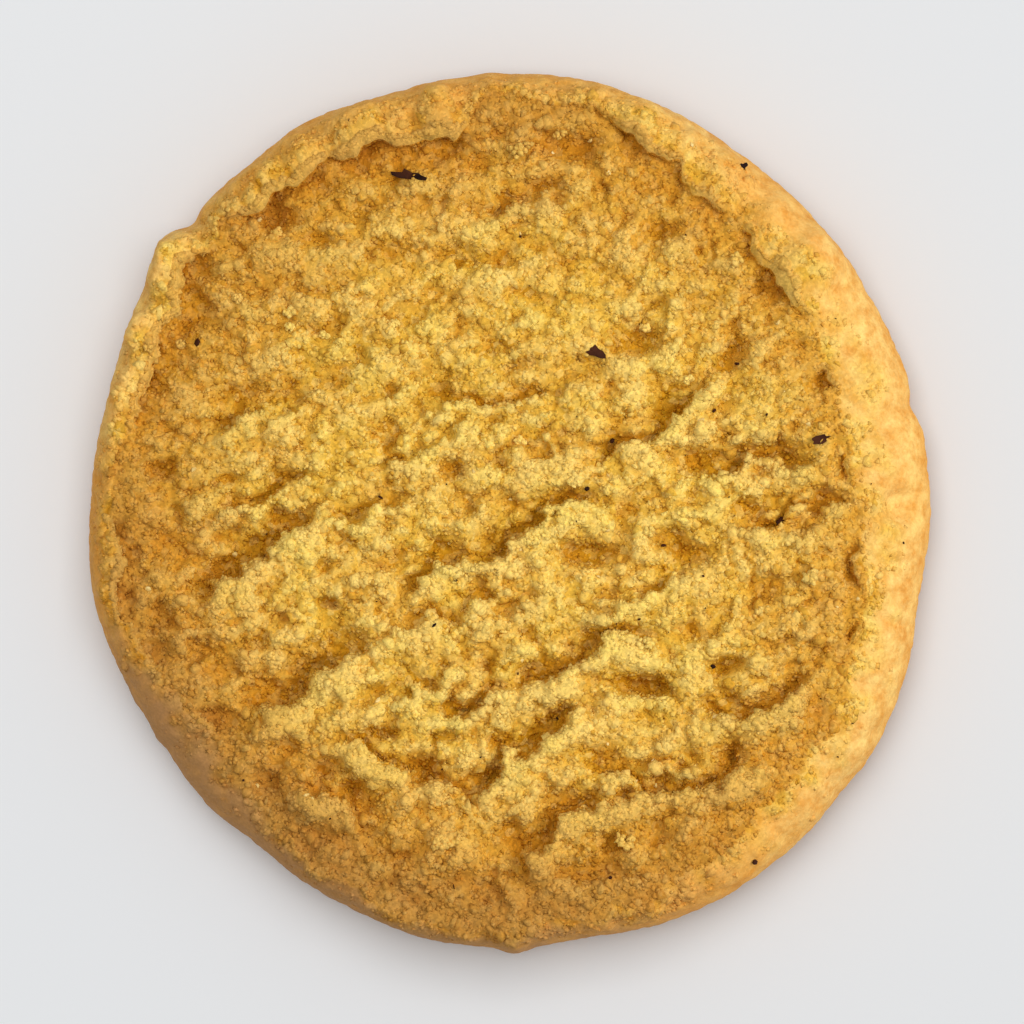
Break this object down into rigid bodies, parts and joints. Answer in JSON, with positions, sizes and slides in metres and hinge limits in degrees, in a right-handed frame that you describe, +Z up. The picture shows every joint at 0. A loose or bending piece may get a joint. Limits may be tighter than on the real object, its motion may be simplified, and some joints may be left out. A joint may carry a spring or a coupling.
{
  "type": "rose shortbread biscuit",
  "caption": "Round shortbread biscuit with a torn crumb face, a smooth baked skin round the side and scattered flecks of dried rose petal.",
  "frame": {"origin": "middle of the biscuit's box, on the flat underside", "axes": "+Z up through the torn face, +X to the right and +Y away in the view from above"},
  "size_m": [0.059, 0.0616, 0.0092],
  "materials": {
    "shortbread": "matt baked crumb, pale gold, with a smoother deeper gold skin round the side"
  },
  "bodies": {
    "root": {"shortbread": "shortbread"}
  },
  "joints": []
}
